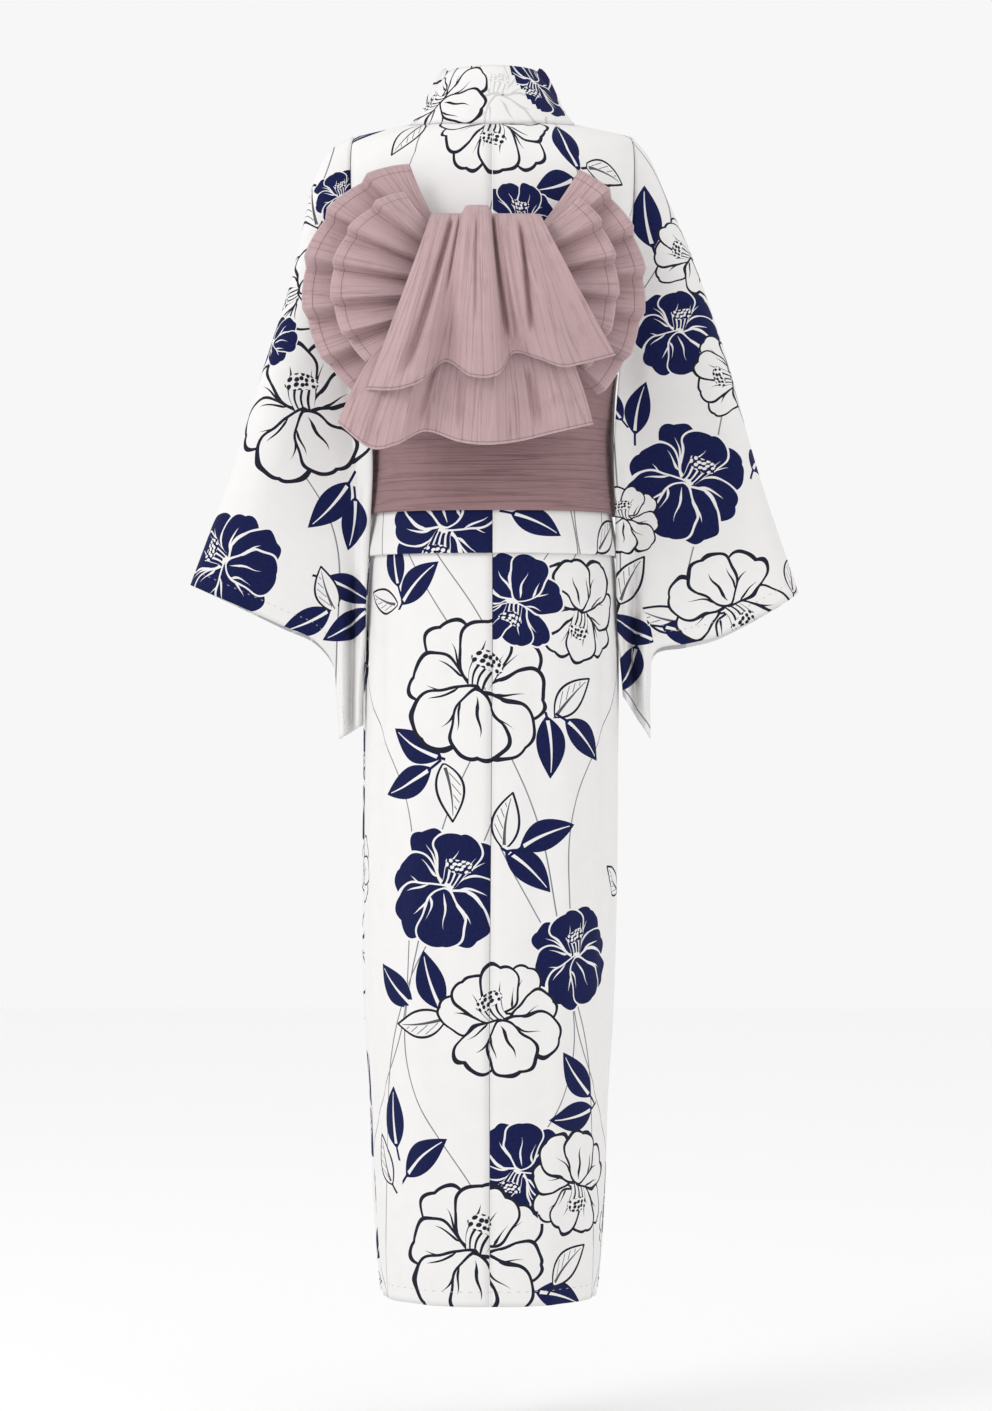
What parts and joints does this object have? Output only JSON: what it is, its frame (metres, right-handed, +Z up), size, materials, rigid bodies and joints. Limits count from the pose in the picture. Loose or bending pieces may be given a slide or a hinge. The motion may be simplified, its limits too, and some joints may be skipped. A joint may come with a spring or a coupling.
{
  "type": "yukata with tied obi",
  "caption": "Woman's cotton yukata in its worn shape, hollow, with floral print, standing collar, wide sleeves, waist tuck and an obi tied in a fan-pleated bow at the back.",
  "frame": {"origin": "the middle of the neck hole at shoulder height, where the wearer's shoulders hold the garment", "axes": "+Z up, along the garment's length; +Y towards the back, with the bow; +X towards the wearer's left"},
  "size_m": [0.6572, 0.3447, 1.3233],
  "materials": {
    "printed_cotton": "matte",
    "obi_cloth": "satin"
  },
  "bodies": {
    "root": {"body_left": "printed_cotton", "body_right": "printed_cotton", "okumi_left": "printed_cotton", "okumi_right": "printed_cotton", "collar": "printed_cotton", "sleeve_left": "printed_cotton", "sleeve_right": "printed_cotton", "obi_band": "obi_cloth", "bow_loop": "obi_cloth", "wing_left_outer": "obi_cloth", "wing_left_inner": "obi_cloth", "wing_right_outer": "obi_cloth", "wing_right_inner": "obi_cloth", "tail_upper": "obi_cloth", "tail_lower": "obi_cloth"}
  },
  "joints": []
}
